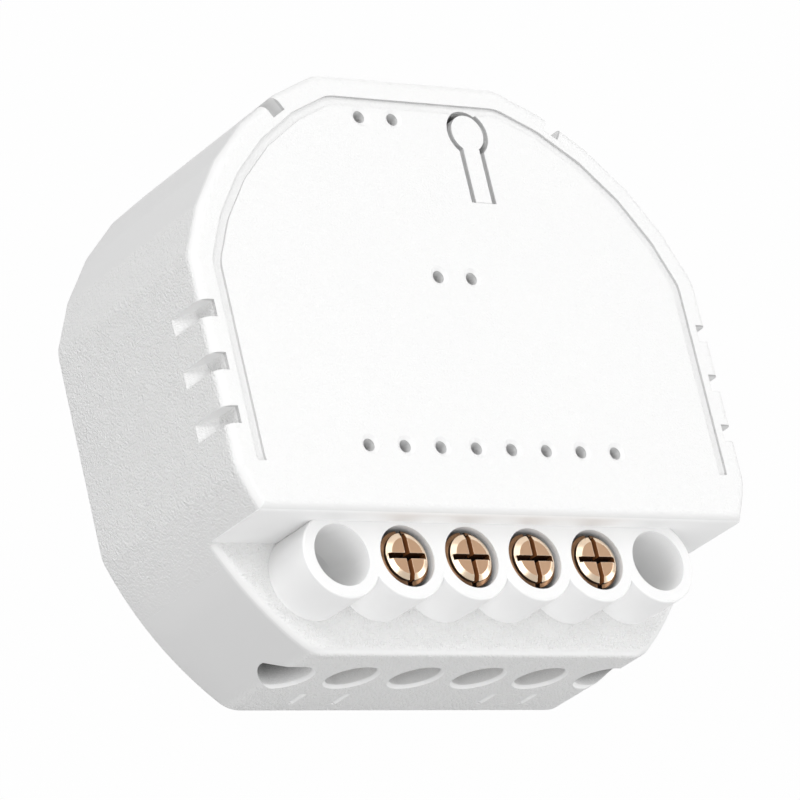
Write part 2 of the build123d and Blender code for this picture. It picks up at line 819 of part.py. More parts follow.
with BuildPart() as transformer_coil:
    with BuildSketch(Plane.XY.offset(board_top_z)):
        with Locations((transformer_x, transformer_y)):
            Rectangle(
                window_length - 2 * winding_gap,
                core_leg + 2 * window_width - 2 * winding_gap,
            )
    extrude(amount=coil_stack)
    fillet(transformer_coil.edges().filter_by(Axis.X), can_round)
    with BuildSketch(Plane.YZ.offset(transformer_x)):
        with Locations((transformer_y, core_z + core_thickness / 2)):
            Rectangle(core_leg + 2 * winding_gap, core_thickness + 2 * winding_gap)
    extrude(amount=window_length, both=True, mode=Mode.SUBTRACT)
    coil_lead_x = window_length / 2 - lead_inset
    coil_lead_y = core_leg / 2 + window_width / 2
    coil_spots = [
        (transformer_x + a * coil_lead_x, transformer_y + b * coil_lead_y)
        for a in (-1, 1)
        for b in (-1, 1)
    ]
    extrude(lead_outline(coil_spots), amount=lead_stub + board_thickness + can_round)
save(transformer_coil, "transformer_coil")

next_x = row_2_left + core_length + part_gap
next_x = board_can("line_inductor", next_x, row_2_y, inductor_radius, inductor_height)
next_x = board_can("output_capacitor", next_x, row_2_y, output_capacitor_radius, output_capacitor_height)
board_block("safety_capacitor", next_x, row_2_y, safety_capacitor_size, leads=True)

# Third row: low parts under the radio board, and the header that carries it
header_x = board_block("bridge_rectifier", row_3_left, row_3_y, bridge_size, leads=False)
header_y = row_3_y + header_width / 2
pin_spots = [(header_x + (i + 0.5) * pin_pitch, header_y) for i in range(pin_count)]
with BuildPart() as header_strip:
    with BuildSketch(Plane.XY.offset(board_top_z)):
        with Locations((header_x, row_3_y)):
            Rectangle(pin_count * pin_pitch, header_width, align=(Align.MIN, Align.MIN))
        with Locations(*pin_spots):
            Circle(lead_radius + plunger_gap, mode=Mode.SUBTRACT)
    extrude(amount=header_height)
save(header_strip, "header_strip")
with BuildPart() as header_pins:
    with BuildSketch(Plane.XY.offset(board_z - lead_stub)):
        with Locations(*pin_spots):
            Circle(lead_radius)
    extrude(amount=radio_top_z + lead_stub - board_z + lead_stub)
lead_spots.extend(pin_spots)
save(header_pins, "header_pins")
next_x = header_x + pin_count * pin_pitch + part_gap
next_x = board_block("optocoupler", next_x, row_3_y, optocoupler_size, leads=False)
board_block("power_controller", next_x, row_3_y, controller_size, leads=False)

with BuildPart() as board_spacer:
    with BuildSketch(Plane.XY.offset(board_top_z)):
        with Locations((button_x, button_y)):
            Circle(spacer_radius)
    extrude(amount=radio_z - board_top_z)
save(board_spacer, "board_spacer")

# Main board, with a hole for every lead and room for the cover's tabs
with BuildPart() as main_board:
    with BuildSketch(Plane.XY.offset(board_z)):
        add(case_outline(wall + board_gap))
        with Locations(*lead_spots):
            Circle(lead_radius + hole_gap, mode=Mode.SUBTRACT)
        with Locations(*[(x, end_y) for x in tab_xs]):
            Rectangle(
                tab_width + 2 * board_gap,
                wall + cover_gap + tab_leg + board_gap,
                align=(Align.CENTER, Align.MIN),
                mode=Mode.SUBTRACT,
            )
    extrude(amount=board_thickness)
save(main_board, "main_board")

# Radio board and what it carries
with BuildPart() as radio_board:
    with BuildSketch(Plane.XY.offset(radio_z)):
        add(case_outline(wall + board_gap))
        with Locations((0, row_3_y - radio_board_margin)):
            Rectangle(
                radio_board_width,
                case_height,
                align=(Align.CENTER, Align.MIN),
                mode=Mode.INTERSECT,
            )
        with Locations(*pin_spots):
            Circle(lead_radius + hole_gap, mode=Mode.SUBTRACT)
    extrude(amount=radio_board_thickness)
save(radio_board, "radio_board")

with BuildPart() as tact_switch:
    with BuildSketch(Plane.XY.offset(radio_top_z)):
        with Locations((button_x, button_y)):
            Rectangle(tact_size[0], tact_size[1])
    extrude(amount=tact_size[2])
    fillet(tact_switch.edges().filter_by(Axis.Z), block_round)
    with Locations((button_x, button_y, radio_top_z + tact_size[2])):
        Hole(plunger_radius + plunger_gap, depth=plunger_well)
save(tact_switch, "tact_switch")

with BuildPart() as tact_plunger:
    with BuildSketch(Plane.XY.offset(plunger_top_z)):
        with Locations((button_x, button_y)):
            Circle(plunger_radius)
    extrude(amount=-(plunger_height + plunger_seat))
save(tact_plunger, "tact_plunger")

shield_y = button_y - tact_size[1] / 2 - shield_gap - shield_size[1] / 2
with BuildPart() as radio_chip:
    with BuildSketch(Plane.XY.offset(radio_top_z)):
        with Locations((button_x, shield_y)):
            Rectangle(chip_size[0], chip_size[1])
    extrude(amount=chip_size[2])
save(radio_chip, "radio_chip")

with BuildPart() as radio_shield:
    with BuildSketch(Plane.XY.offset(radio_top_z)):
        with Locations((button_x, shield_y)):
            Rectangle(shield_size[0], shield_size[1])
    extrude(amount=shield_size[2])
    fillet(radio_shield.edges().filter_by(Axis.Z), block_round)
    with BuildSketch(Plane.XY.offset(radio_top_z)):
        with Locations((button_x, shield_y)):
            Rectangle(shield_size[0] - 2 * shield_wall, shield_size[1] - 2 * shield_wall)
    extrude(amount=shield_size[2] - shield_wall, mode=Mode.SUBTRACT)
save(radio_shield, "radio_shield")

with BuildPart() as antenna:
    antenna_x = antenna_inset - radio_board_width / 2
    with BuildSketch(Plane.XY.offset(radio_top_z)):
        for turn in range(antenna_turns + 1):
            with Locations((antenna_x, button_y - turn * antenna_pitch)):
                Rectangle(antenna_run, antenna_track, align=(Align.MIN, Align.CENTER))
        for turn in range(antenna_turns):
            side_x = antenna_x + (antenna_run - antenna_track) * (turn % 2)
            with Locations((side_x, button_y - turn * antenna_pitch)):
                Rectangle(antenna_track, antenna_pitch, align=(Align.MIN, Align.MAX))
    extrude(amount=antenna_thickness)
save(antenna, "antenna")

with BuildPart() as status_led:
    with BuildSketch(Plane.XY.offset(radio_top_z)):
        with Locations((top_pair_x + vent_pair_pitch / 2, top_y - top_pair_drop)):
            Rectangle(led_size[0], led_size[1])
    extrude(amount=led_size[2])
save(status_led, "status_led")
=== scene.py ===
"""Studio picture of the in-wall smart light switch module, with the finishes of its pieces.

Metres. +Z points out of the face, -Y is the terminal end, and the back lies on Z = 0.
"""

import bmesh
import bpy
import json
from math import cos, pi, radians, sin
from mathutils import Matrix, Vector


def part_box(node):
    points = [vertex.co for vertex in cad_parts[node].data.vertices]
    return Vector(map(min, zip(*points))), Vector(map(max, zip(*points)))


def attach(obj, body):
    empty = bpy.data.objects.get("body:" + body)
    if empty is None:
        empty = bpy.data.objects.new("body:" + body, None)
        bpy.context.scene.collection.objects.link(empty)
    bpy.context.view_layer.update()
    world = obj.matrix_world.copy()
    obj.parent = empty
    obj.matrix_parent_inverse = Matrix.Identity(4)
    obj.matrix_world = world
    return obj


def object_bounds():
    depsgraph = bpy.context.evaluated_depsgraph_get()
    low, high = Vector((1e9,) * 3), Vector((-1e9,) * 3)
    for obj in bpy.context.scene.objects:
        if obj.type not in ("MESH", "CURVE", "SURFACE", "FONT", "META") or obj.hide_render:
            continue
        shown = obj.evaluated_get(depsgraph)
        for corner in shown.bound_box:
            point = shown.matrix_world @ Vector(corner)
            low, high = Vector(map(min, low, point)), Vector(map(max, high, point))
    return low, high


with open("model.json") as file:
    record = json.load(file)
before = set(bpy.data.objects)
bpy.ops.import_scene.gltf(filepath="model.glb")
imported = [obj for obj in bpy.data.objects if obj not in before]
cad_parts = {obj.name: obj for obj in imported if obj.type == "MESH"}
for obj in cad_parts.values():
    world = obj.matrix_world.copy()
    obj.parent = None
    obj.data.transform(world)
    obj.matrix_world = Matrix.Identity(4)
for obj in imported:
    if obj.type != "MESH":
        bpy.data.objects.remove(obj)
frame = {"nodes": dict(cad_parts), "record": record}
cad_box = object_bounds()
nodes = frame["nodes"]

MM = 0.001

# Turns of wire, and the leads of the chips
turn_sides = 40  # flats round one turn of wire
wire_sides = 8
lead_width = 0.4 * MM
lead_thickness = 0.15 * MM
lead_reach = 0.8 * MM
lead_shoulder = 0.4  # share of its reach where a lead starts down
lead_knee = 0.55  # and where it has reached the board

# Solder joints under the main board
lead_radius = 0.3 * MM
solder_radius = 0.62 * MM
solder_height = 0.7 * MM
solder_sides = 14
solder_waist = 1.3  # times the radius of the lead, where the foot begins
solder_foot = 0.35  # share of the height that the foot takes
block_lead_inset = 1.2 * MM
lead_pairs_along = ["varistor", "safety_capacitor"]
lead_pairs_across = [
    "bulk_capacitor",
    "fuse_resistor",
    "line_inductor",
    "output_capacitor",
    *(f"terminal_box_{n}" for n in range(1, 5)),
]

# Plastic at the root of the button's tongue
tongue_width = 1.65 * MM
root_gap = 0.011 * MM  # short of the tongue, so that this clears it when it is bent
root_land = 0.2 * MM

# Camera: it looks down on the face from the lower left, and is rolled as the photograph is
camera_place = Vector((-0.27057, -0.14799, 0.33015))
camera_forward = Vector((0.608225, 0.331882, -0.721052))
camera_roll = radians(55.24)
camera_lens = 248.27  # millimetres, as is the sensor
sensor_width = 36

# Lamps, all aimed at the module: place, width and power
lamps = {
    "top": ((0, 0, 1.5), 0.9, 5.6),
    "back_left": ((-0.8, 0.8, 0.9), 0.8, 6.0),
    "front_left": ((-0.8, -0.8, 0.9), 0.8, 3.9),
    "back": ((0, 0.9, 1.1), 0.8, 2.4),
    "low_back_left": ((-1.1, 0.9, 0.35), 0.8, 2.6),
    "low_front_left": ((-1.1, -0.9, 0.35), 0.8, 3.6),
    "low_front_right": ((0.8, -1.1, 0.35), 0.8, 2.4),
    "right": ((1.3, 0, 0.7), 0.8, 5.4),
}
world_low = 0.35  # strength of the surroundings near the floor
world_high = 0.39  # and overhead

# Floor
floor_size = 6.0
floor_drop = 0.05 * MM
floor_colour = (0.4, 0.4, 0.4)
floor_glow = 0.985

# Limits between zones: how squarely a spot faces along an axis, from 0 to 1
flat_begins = 0.8
flat_full = 0.98
upright_limit = 0.4  # upright walls face up or down by less than this
level_limit = 0.97  # and slopes by less than this
endways_limit = 0.8  # walls that face the ends of the case do so by more than this

# Share of the sky that is open where the painted shade in a hole begins, and where it is at its darkest
hollow_begins = 0.5
hollow_full = 0.25

# Wear and grain of every skin
edge_gain = 6  # how fast the mask of an edge grows with its sharpness
patch_share = 0.25  # size of the worn patches against that of the tones
grain_middle = 0.5  # of the grain's height, which runs from 0 to 1

# Case: its mould was etched on the outer walls, on the floor of the step and a little on the face
case_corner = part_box("housing")[1]
case_sizes = {
    "Half Width": case_corner.x,
    "Half Height": case_corner.y,
    "Face": case_corner.z,
    "Margin": 2.5 * MM,  # walls this near the outside are outer walls
    "Step Floor": case_corner.z - 7 * MM,
    "Step Wall": 9.2 * MM - case_corner.y,  # just past the wall of the step
    "Hollow Top": 10 * MM,  # above the wire holes and below the floors of the empty tubes
    "Face Share": 0.3,  # how much of the walls' grain the face has
    "Floor Share": 0.9,  # and the floor of the step
    "Line Drop": 0.3 * MM,  # what is this near the face or the floor of the step counts as on it
    "Rim Fade": 0.4 * MM,  # the painted highlight on the rims in the end walls is this deep
}
# Painted shade on the arc walls, under the face and deep in holes; painted highlight on tube, step and rim
# walls
case_painted_light = {"Arc": 0.78, "Terminal": 0.99, "Rim": 1.0, "Line": 0.62, "Hollow": 0.2}
hollow_reach = 6 * MM

# Screws: zones of the heads, by depth below the top and by distance from the axis
screw_low, screw_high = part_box("clamp_screw_1")
screw_sizes = {
    "Top": screw_high.z,
    "Row": (screw_low.y + screw_high.y) / 2,
    "Pitch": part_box("clamp_screw_2")[0].x - screw_low.x,
    "Step Radius": 1.9 * MM,
    "Flange Depth": 0.35 * MM,
    "Floor Depth": 0.9 * MM,
}
# Painted light on the screw heads: highlight on the bevels, shade on the flanges, slot walls and deep parts
screw_painted_light = {
    "Bevel": (1.0, 0.8, 0.6),
    "Flange": (0.26, 0.14, 0.07),
    "Slot": (0.26, 0.1, 0.035),
    "Cross": (0.07, 0.025, 0.01),
    "Dark": (0.02, 0.01, 0.006),
}
screw_shine = 0.7  # how metallic the bare plating is


def feed(tree, socket, source):
    """Links an input to another node's output, or gives it a plain value."""
    if isinstance(source, bpy.types.NodeSocket):
        tree.links.new(source, socket)
    else:
        socket.default_value = source


def add_node(tree, kind, inputs=None, **settings):
    """Adds a node with its settings. Each named input takes a socket or a plain value."""
    made = tree.nodes.new(kind)
    for name, value in settings.items():
        setattr(made, name, value)
    for name, source in (inputs or {}).items():
        feed(tree, made.inputs[name], source)
    return made


def add_math(tree, operation, first, second=0):
    """Adds a Math node on one or two sockets or numbers, and gives its result."""
    made = add_node(tree, "ShaderNodeMath", operation=operation)
    feed(tree, made.inputs[0], first)
    feed(tree, made.inputs[1], second)
    return made.outputs["Value"]


def add_range(tree, value, begin, end):
    """Gives 0 where the value is at begin, 1 where it is at end, and a share between them."""
    inputs = {"Value": value, "From Min": begin, "From Max": end}
    return add_node(tree, "ShaderNodeMapRange", inputs).outputs["Result"]


def add_noise(tree, size, detail, roughness=0.5):
    """Adds noise with patches of this size, fixed to the object, and gives its value."""
    inputs = {
        "Vector": add_node(tree, "ShaderNodeTexCoord").outputs["Object"],
        "Scale": add_math(tree, "DIVIDE", 1, size),
        "Detail": detail,
        "Roughness": roughness,
    }
    return add_node(tree, "ShaderNodeTexNoise", inputs).outputs[0]


def add_blend(tree, amount, first, second):
    """Mixes two colours, each a socket or a plain colour, and gives the result."""
    made = add_node(tree, "ShaderNodeMix", data_type="RGBA")
    feed(tree, made.inputs[0], amount)
    colour_inputs = [socket for socket in made.inputs if socket.type == "RGBA"]
    for socket, source in zip(colour_inputs, (first, second)):
        if isinstance(source, tuple):
            source = (*source, 1)
        feed(tree, socket, source)
    return [socket for socket in made.outputs if socket.type == "RGBA"][0]


def add_place(tree):
    """Gives how squarely a spot of the surface faces along each axis, and where it lies."""
    place = add_node(tree, "ShaderNodeTexCoord").outputs
    normal = add_node(tree, "ShaderNodeSeparateXYZ", {"Vector": place["Normal"]}).outputs
    spot = add_node(tree, "ShaderNodeSeparateXYZ", {"Vector": place["Object"]}).outputs
    facing = {axis: add_math(tree, "ABSOLUTE", normal[axis]) for axis in "XYZ"}
    return facing, spot


def start_group(name, inputs, outputs):
    """Makes an empty shader group, and gives it with the sockets of its two end nodes."""
    group = bpy.data.node_groups.new(name, "ShaderNodeTree")
    for label in inputs:
        group.interface.new_socket(label, in_out="INPUT", socket_type="NodeSocketFloat")
    for label in outputs:
        kind = "NodeSocketVector" if label == "Normal" else "NodeSocketFloat"
        group.interface.new_socket(label, in_out="OUTPUT", socket_type=kind)
    return group, group.nodes.new("NodeGroupInput").outputs, group.nodes.new("NodeGroupOutput").inputs


def use_group(tree, group, inputs):
    """Adds a shader group to a material with its values, and gives its outputs."""
    return add_node(tree, "ShaderNodeGroup", inputs, node_tree=group).outputs


def make_grain_group():
    """Fine uneven surface of a moulded or cast skin, as a height and a tone from 0 to 1."""
    group, given, result = start_group("skin_grain", ["Grain Size", "Tone Size"], ["Height", "Tone"])
    feed(group, result["Height"], add_noise(group, given["Grain Size"], detail=1.5))
    feed(group, result["Tone"], add_noise(group, given["Tone Size"], detail=4, roughness=0.55))
    return group


def make_edge_group():
    """Rounds sharp edges with a softened normal, and marks them with a broken mask."""
    sizes = ["Edge Width", "Patch Size", "Amount"]
    group, given, result = start_group("edge_wear", sizes, ["Mask", "Normal"])
    rounded = add_node(group, "ShaderNodeBevel", {"Radius": given["Edge Width"]}, samples=6).outputs["Normal"]
    same = add_node(group, "ShaderNodeVectorMath", operation="DOT_PRODUCT")
    feed(group, same.inputs[0], rounded)
    feed(group, same.inputs[1], add_node(group, "ShaderNodeNewGeometry").outputs["Normal"])
    edge = add_math(group, "SUBTRACT", 1, same.outputs["Value"])
    edge = add_math(group, "MULTIPLY", edge, edge_gain)
    worn = add_math(group, "MULTIPLY", edge, add_noise(group, given["Patch Size"], detail=4))
    worn = add_math(group, "MULTIPLY", worn, given["Amount"])
    feed(group, result["Mask"], add_math(group, "MINIMUM", worn, 1))
    feed(group, result["Normal"], rounded)
    return group


def make_case_group():
    """Zones of the case.

    Etched is where its mould was rough, Line the upright walls just under the face, Low what lies level with
    the wire holes, Rim the sloping rims in the end walls, Arc the upright walls that face neither side nor
    end, and Terminal the walls of the tubes and of the step.
    """
    zones = ["Etched", "Line", "Low", "Rim", "Arc", "Terminal"]
    group, given, result = start_group("case_zones", case_sizes, zones)
    facing, spot = add_place(group)
    height = spot["Z"]
    flat = {axis: add_range(group, facing[axis], flat_begins, flat_full) for axis in "XYZ"}
    inset = {}
    for axis, limit in (("X", "Half Width"), ("Y", "Half Height")):
        distance = add_math(group, "ABSOLUTE", spot[axis])
        inset[axis] = add_math(group, "SUBTRACT", given[limit], distance)
    on_side = add_math(group, "LESS_THAN", inset["X"], given["Margin"])
    on_end = add_math(group, "LESS_THAN", inset["Y"], given["Margin"])
    from_floor = add_math(group, "SUBTRACT", height, given["Step Floor"])
    from_floor = add_math(group, "ABSOLUTE", from_floor)
    on_floor = add_math(group, "LESS_THAN", from_floor, given["Line Drop"])
    line_foot = add_math(group, "SUBTRACT", given["Face"], given["Line Drop"])
    near_face = add_math(group, "GREATER_THAN", height, line_foot)

    face_grain = add_math(group, "MULTIPLY", near_face, given["Face Share"])
    floor_grain = add_math(group, "MULTIPLY", on_floor, given["Floor Share"])
    sides = add_math(group, "MULTIPLY", flat["X"], on_side)
    ends = add_math(group, "MULTIPLY", flat["Y"], on_end)
    levels = add_math(group, "MULTIPLY", flat["Z"], add_math(group, "MAXIMUM", floor_grain, face_grain))
    etched = add_math(group, "MAXIMUM", add_math(group, "MAXIMUM", sides, ends), levels)
    feed(group, result["Etched"], etched)

    upright = add_math(group, "LESS_THAN", facing["Z"], upright_limit)
    feed(group, result["Line"], add_math(group, "MULTIPLY", upright, near_face))
    feed(group, result["Low"], add_math(group, "LESS_THAN", height, given["Hollow Top"]))

    past_wall = add_math(group, "LESS_THAN", spot["Y"], given["Step Wall"])
    over_floor = add_math(group, "GREATER_THAN", height, given["Step Floor"])
    terminal = add_math(group, "MULTIPLY", past_wall, over_floor)
    walls = add_math(group, "SUBTRACT", 1, flat["Z"])
    feed(group, result["Terminal"], add_math(group, "MULTIPLY", terminal, walls))
    aslant = add_math(group, "SUBTRACT", 1, add_math(group, "MAXIMUM", flat["X"], flat["Y"]))
    aslant = add_math(group, "MULTIPLY", aslant, upright)
    elsewhere = add_math(group, "SUBTRACT", 1, terminal)
    feed(group, result["Arc"], add_math(group, "MULTIPLY", aslant, elsewhere))

    nearness = add_range(group, inset["Y"], given["Rim Fade"], 0)
    sloping = add_math(group, "SUBTRACT", 1, flat["Y"])
    feed(group, result["Rim"], add_math(group, "MULTIPLY", sloping, nearness))
    return group


def make_hollow_group():
    """Deep holes: 1 where little of the sky is open within reach, 0 on open ground."""
    group, given, result = start_group("deep_hollows", ["Reach"], ["Mask"])
    reach = {"Distance": given["Reach"]}
    sky = add_node(group, "ShaderNodeAmbientOcclusion", reach, samples=8, only_local=True)
    feed(group, result["Mask"], add_range(group, sky.outputs["AO"], hollow_begins, hollow_full))
    return group


def make_screw_group():
    """Zones of the screw heads.

    Bevel is every slope above the flange, Flange all that lies lower, Slot every upright wall, Cross the
    walls that face the ends of the case, and Dark the deepest floors and the upright walls outside the step.
    """
    zones = ["Bevel", "Flange", "Slot", "Cross", "Dark"]
    group, given, result = start_group("screw_zones", screw_sizes, zones)
    facing, spot = add_place(group)
    along = add_math(group, "FLOORED_MODULO", spot["X"], given["Pitch"])
    along = add_math(group, "SUBTRACT", along, add_math(group, "DIVIDE", given["Pitch"], 2))
    across = add_math(group, "SUBTRACT", spot["Y"], given["Row"])
    squares = [add_math(group, "MULTIPLY", side, side) for side in (along, across)]
    radius = add_math(group, "SQRT", add_math(group, "ADD", *squares))
    depth = add_math(group, "SUBTRACT", given["Top"], spot["Z"])

    low = add_math(group, "GREATER_THAN", depth, given["Flange Depth"])
    high = add_math(group, "SUBTRACT", 1, low)
    sloping = add_math(group, "LESS_THAN", facing["Z"], level_limit)
    upright = add_math(group, "LESS_THAN", facing["Z"], upright_limit)
    outside = add_math(group, "GREATER_THAN", radius, given["Step Radius"])
    outer_walls = add_math(group, "MULTIPLY", upright, outside)
    bottom = add_math(group, "GREATER_THAN", depth, given["Floor Depth"])
    feed(group, result["Bevel"], add_math(group, "MULTIPLY", sloping, high))
    feed(group, result["Flange"], low)
    feed(group, result["Slot"], upright)
    feed(group, result["Cross"], add_math(group, "GREATER_THAN", facing["Y"], endways_limit))
    feed(group, result["Dark"], add_math(group, "MAXIMUM", outer_walls, bottom))
    return group


grain_group = make_grain_group()
edge_group = make_edge_group()
case_group = make_case_group()
hollow_group = make_hollow_group()
screw_group = make_screw_group()


def case_detail(tree, tones, height, metallic):
    """Case: grain where its mould was etched, painted shade on the arc walls, in lines under the face and
    deep in the holes, and painted highlight on the tube and step walls and the end-wall rims.
    """
    zones = use_group(tree, case_group, case_sizes)
    # Painted shade deep in the holes, from how little of the sky is open round a spot
    hollow = use_group(tree, hollow_group, {"Reach": hollow_reach})["Mask"]
    open_tube = add_math(tree, "SUBTRACT", zones["Terminal"], hollow)
    masks = {
        "Arc": zones["Arc"],
        "Terminal": add_math(tree, "MAXIMUM", open_tube, 0),
        "Rim": zones["Rim"],
        "Line": zones["Line"],
        "Hollow": add_math(tree, "MULTIPLY", hollow, zones["Low"]),
    }
    # Paints the shade and highlights zone by zone over the case's own tones
    for zone, tone in case_painted_light.items():
        tones = add_blend(tree, masks[zone], tones, (tone, tone, tone))
    height = add_math(tree, "SUBTRACT", height, grain_middle)
    height = add_math(tree, "MULTIPLY", height, zones["Etched"])
    return tones, height, metallic


def screw_detail(tree, tones, height, metallic):
    """Screws: painted highlight on the bevels, painted brown shade on the flanges and slot walls, and slots
    painted dark that shine less.
    """
    zones = use_group(tree, screw_group, screw_sizes)
    # Paints the highlight and shade zone by zone over the plating's own tones
    for zone, colour in screw_painted_light.items():
        tones = add_blend(tree, zones[zone], tones, colour)
    bare = add_math(tree, "SUBTRACT", metallic, zones["Slot"])
    return tones, height, add_math(tree, "MULTIPLY", bare, screw_shine)


def start_material(name):
    """Makes a material without nodes, and gives it with its node tree."""
    material = bpy.data.materials.new(name)
    material.use_nodes = True
    material.node_tree.nodes.clear()
    return material, material.node_tree


def skin_material(
    name,
    colour,
    shade,
    worn_colour,
    roughness,
    roughness_swing=0.08,
    metallic=0.0,
    grain_size=0.3 * MM,
    grain_depth=0.01 * MM,
    tone_size=6 * MM,
    edge_width=0.15 * MM,
    wear=0.4,
    coat=0.0,
    detail=None,
):
    """Finish of one kind of skin: two tones that drift into each other, grain, and edges that are worn.

    A detail is a function that changes the tones, the height of the grain and the shine from zone to zone.
    """
    material, tree = start_material(name)
    grain = use_group(tree, grain_group, {"Grain Size": grain_size, "Tone Size": tone_size})
    patch_size = tone_size * patch_share
    edge = use_group(tree, edge_group, {"Edge Width": edge_width, "Patch Size": patch_size, "Amount": wear})
    tones = add_blend(tree, grain["Tone"], shade, colour)
    tones = add_blend(tree, edge["Mask"], tones, worn_colour)
    rough_limits = {
        "Value": grain["Height"],
        "To Min": roughness - roughness_swing,
        "To Max": roughness + roughness_swing,
    }
    rough = add_node(tree, "ShaderNodeMapRange", rough_limits)
    height = grain["Height"]
    if detail:
        tones, height, metallic = detail(tree, tones, height, metallic)
    relief = {"Height": height, "Normal": edge["Normal"], "Distance": grain_depth}
    bump = add_node(tree, "ShaderNodeBump", relief)
    finish = {
        "Base Color": tones,
        "Roughness": rough.outputs["Result"],
        "Metallic": metallic,
        "Coat Weight": coat,
        "Normal": bump.outputs["Normal"],
    }
    shader = add_node(tree, "ShaderNodeBsdfPrincipled", finish)
    add_node(tree, "ShaderNodeOutputMaterial", {"Surface": shader.outputs["BSDF"]})
    return material


skins = {
    "case_white": dict(
        colour=(0.86, 0.86, 0.857),
        shade=(0.845, 0.845, 0.845),
        # the lighter worn edges are partly rubbed wear and partly a painted highlight along the edges
        worn_colour=(0.97, 0.97, 0.97),
        roughness=0.5,
        grain_size=0.2 * MM,
        grain_depth=0.21 * MM,
        tone_size=15 * MM,
        edge_width=0.08 * MM,
        wear=0.3,
        detail=case_detail,
    ),
    "screw_metal": dict(
        colour=(0.87, 0.56, 0.355),
        shade=(0.80, 0.50, 0.31),
        worn_colour=(1.0, 0.9, 0.76),
        roughness=0.17,
        roughness_swing=0.05,
        metallic=1.0,
        grain_size=0.15 * MM,
        grain_depth=0.003 * MM,
        tone_size=1.2 * MM,
        edge_width=0.1 * MM,
        wear=0.5,
        detail=screw_detail,
    ),
    "box_metal": dict(
        colour=(0.80, 0.66, 0.36),
        shade=(0.66, 0.52, 0.27),
        worn_colour=(0.9, 0.8, 0.5),
        roughness=0.32,
        metallic=1.0,
        tone_size=2 * MM,
    ),
    "plate_steel": dict(
        colour=(0.72, 0.72, 0.71),
        shade=(0.55, 0.56, 0.58),
        worn_colour=(0.85, 0.85, 0.85),
        roughness=0.34,
        metallic=1.0,
        tone_size=1.5 * MM,
    ),
    "board_green": dict(
        colour=(0.035, 0.20, 0.085),
        shade=(0.02, 0.14, 0.06),
        worn_colour=(0.35, 0.38, 0.22),
        roughness=0.28,
        grain_size=0.5 * MM,
        tone_size=4 * MM,
        coat=0.3,
    ),
    "relay_blue": dict(
        colour=(0.03, 0.13, 0.42),
        shade=(0.02, 0.09, 0.33),
        worn_colour=(0.12, 0.25, 0.55),
        roughness=0.38,
    ),
    "black_plastic": dict(
        colour=(0.035, 0.035, 0.037),
        shade=(0.02, 0.02, 0.022),
        worn_colour=(0.11, 0.11, 0.11),
        roughness=0.46,
    ),
    "soft_iron": dict(
        colour=(0.58, 0.57, 0.55),
        shade=(0.44, 0.43, 0.42),
        worn_colour=(0.75, 0.74, 0.72),
        roughness=0.38,
        metallic=1.0,
        tone_size=1.5 * MM,
    ),
    "coil_copper": dict(
        colour=(0.72, 0.30, 0.14),
        shade=(0.52, 0.19, 0.08),
        worn_colour=(0.85, 0.45, 0.25),
        roughness=0.3,
        metallic=1.0,
        tone_size=1.2 * MM,
    ),
    "contact_silver": dict(
        colour=(0.86, 0.85, 0.82),
        shade=(0.7, 0.69, 0.66),
        worn_colour=(0.95, 0.94, 0.92),
        roughness=0.25,
        metallic=1.0,
        tone_size=1 * MM,
    ),
    "can_sleeve": dict(
        colour=(0.03, 0.035, 0.09),
        shade=(0.02, 0.022, 0.06),
        worn_colour=(0.1, 0.11, 0.2),
        roughness=0.3,
        coat=0.4,
    ),
    "resistor_body": dict(
        colour=(0.22, 0.36, 0.33),
        shade=(0.16, 0.28, 0.26),
        worn_colour=(0.4, 0.5, 0.46),
        roughness=0.5,
        tone_size=2 * MM,
    ),
    "varistor_blue": dict(
        colour=(0.05, 0.14, 0.42),
        shade=(0.03, 0.1, 0.33),
        worn_colour=(0.16, 0.27, 0.55),
        roughness=0.34,
        grain_depth=0.03 * MM,
        coat=0.3,
    ),
    "film_yellow": dict(
        colour=(0.72, 0.50, 0.05),
        shade=(0.62, 0.41, 0.03),
        worn_colour=(0.82, 0.66, 0.25),
        roughness=0.4,
    ),
    "ferrite": dict(
        colour=(0.06, 0.06, 0.063),
        shade=(0.035, 0.035, 0.038),
        worn_colour=(0.16, 0.16, 0.165),
        roughness=0.55,
        grain_depth=0.03 * MM,
    ),
    "winding_tape": dict(
        colour=(0.75, 0.55, 0.08),
        shade=(0.62, 0.43, 0.05),
        worn_colour=(0.85, 0.7, 0.3),
        roughness=0.36,
        coat=0.3,
    ),
    "tinned_steel": dict(
        colour=(0.78, 0.78, 0.76),
        shade=(0.62, 0.62, 0.62),
        worn_colour=(0.9, 0.9, 0.89),
        roughness=0.3,
        metallic=1.0,
        tone_size=1.5 * MM,
    ),
    "antenna_copper": dict(
        colour=(0.85, 0.58, 0.22),
        shade=(0.72, 0.45, 0.15),
        worn_colour=(0.92, 0.72, 0.4),
        roughness=0.28,
        metallic=1.0,
        tone_size=1 * MM,
    ),
    "led_lens": dict(
        colour=(0.86, 0.86, 0.72),
        shade=(0.78, 0.78, 0.6),
        worn_colour=(0.92, 0.92, 0.85),
        roughness=0.2,
        tone_size=0.5 * MM,
        coat=0.5,
    ),
}

materials = {name: skin_material(name, **skin) for name, skin in skins.items()}

for subpart in frame["record"]["subparts"]:
    piece = nodes[subpart["node"]]
    piece.data.materials.clear()
    piece.data.materials.append(materials[subpart["material_slot"]])


